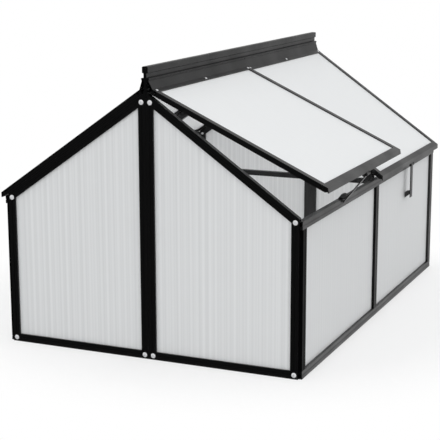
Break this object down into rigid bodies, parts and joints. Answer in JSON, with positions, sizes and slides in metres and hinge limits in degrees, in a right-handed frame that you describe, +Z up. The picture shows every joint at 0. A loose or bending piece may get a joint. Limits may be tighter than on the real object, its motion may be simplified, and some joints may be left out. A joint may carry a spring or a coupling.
{
  "type": "mini greenhouse",
  "caption": "Low gabled mini greenhouse with black frame bars, twin-wall sheets and hinged roof lids on propping stays, one lid propped open.",
  "frame": {"origin": "on the ground, in the middle of the front gable sill: half way across its width and half way through its thickness", "axes": "+X to the right seen from the front gable, +Y from the front gable to the rear gable along the ridge, +Z up"},
  "size_m": [0.9204, 1.2416, 0.7552],
  "materials": {
    "black_frame": "black powder coat, satin",
    "roof_sheet": "frosted twin-wall sheet",
    "wall_sheet": "frosted twin-wall sheet with ribs upright",
    "bolt_steel": "zinc plated domed bolts"
  },
  "bodies": {
    "frame": {"ridge_beam": "black_frame", "mid_rafter_left": "black_frame", "mid_rafter_right": "black_frame", "tie_bar": "black_frame", "front_sill_left": "black_frame", "front_sill_right": "black_frame", "front_corner_post_left": "black_frame", "front_corner_post_right": "black_frame", "front_centre_post_left": "black_frame", "front_centre_post_right": "black_frame", "front_rafter_left": "black_frame", "front_rafter_right": "black_frame", "front_panel_left": "wall_sheet", "front_panel_right": "wall_sheet", "front_bolts": "bolt_steel", "rear_sill_left": "black_frame", "rear_sill_right": "black_frame", "rear_corner_post_left": "black_frame", "rear_corner_post_right": "black_frame", "rear_centre_post_left": "black_frame", "rear_centre_post_right": "black_frame", "rear_rafter_left": "black_frame", "rear_rafter_right": "black_frame", "rear_panel_left": "wall_sheet", "rear_panel_right": "wall_sheet", "rear_bolts": "bolt_steel", "left_sill": "black_frame", "left_front_post": "black_frame", "left_mid_post": "black_frame", "left_rear_post": "black_frame", "left_panel_front": "wall_sheet", "left_panel_rear": "wall_sheet", "left_eave_beam": "black_frame", "right_sill": "black_frame", "right_front_post": "black_frame", "right_mid_post": "black_frame", "right_rear_post": "black_frame", "right_panel_front": "wall_sheet", "right_panel_rear": "wall_sheet", "right_eave_beam": "black_frame"},
    "lid_fr": {"lid_fr_hinge_rail": "black_frame", "lid_fr_side_rails": "black_frame", "lid_fr_bottom_rail": "black_frame", "lid_fr_panel": "roof_sheet"},
    "stay_fr": {"stay_fr": "black_frame"},
    "lid_rr": {"lid_rr_hinge_rail": "black_frame", "lid_rr_side_rails": "black_frame", "lid_rr_bottom_rail": "black_frame", "lid_rr_panel": "roof_sheet"},
    "stay_rr": {"stay_rr": "black_frame"},
    "lid_fl": {"lid_fl_hinge_rail": "black_frame", "lid_fl_side_rails": "black_frame", "lid_fl_bottom_rail": "black_frame", "lid_fl_panel": "roof_sheet"},
    "stay_fl": {"stay_fl": "black_frame"},
    "lid_rl": {"lid_rl_hinge_rail": "black_frame", "lid_rl_side_rails": "black_frame", "lid_rl_bottom_rail": "black_frame", "lid_rl_panel": "roof_sheet"},
    "stay_rl": {"stay_rl": "black_frame"}
  },
  "joints": [
    {"name": "lid_fr_hinge", "type": "hinge", "parent": "frame", "child": "lid_fr", "pos_m": [0.0074, 0.30125, 0.72234], "axis": [0, -1, 0], "range_deg": [0, 65]},
    {"name": "stay_fr_pivot", "type": "hinge", "parent": "lid_fr", "child": "stay_fr", "pos_m": [0.48203, 0.30125, 0.46968], "axis": [0, -1, 0], "range_deg": [-27, 0]},
    {"name": "lid_rr_hinge", "type": "hinge", "parent": "frame", "child": "lid_rr", "pos_m": [0.0074, 0.92075, 0.72234], "axis": [0, -1, 0], "range_deg": [0, 75]},
    {"name": "stay_rr_pivot", "type": "hinge", "parent": "lid_rr", "child": "stay_rr", "pos_m": [0.43, 0.92075, 0.3899], "axis": [0, -1, 0], "range_deg": [0, 90]},
    {"name": "lid_fl_hinge", "type": "hinge", "parent": "frame", "child": "lid_fl", "pos_m": [-0.0074, 0.30125, 0.72234], "axis": [0, 1, 0], "range_deg": [0, 75]},
    {"name": "stay_fl_pivot", "type": "hinge", "parent": "lid_fl", "child": "stay_fl", "pos_m": [-0.43, 0.30125, 0.3899], "axis": [0, 1, 0], "range_deg": [0, 90]},
    {"name": "lid_rl_hinge", "type": "hinge", "parent": "frame", "child": "lid_rl", "pos_m": [-0.0074, 0.92075, 0.72234], "axis": [0, 1, 0], "range_deg": [0, 75]},
    {"name": "stay_rl_pivot", "type": "hinge", "parent": "lid_rl", "child": "stay_rl", "pos_m": [-0.43, 0.92075, 0.3899], "axis": [0, 1, 0], "range_deg": [0, 90]}
  ],
  "couplings": [
    {"joint": "stay_fr_pivot", "follows": "lid_fr_hinge", "ratio": -0.41}
  ]
}
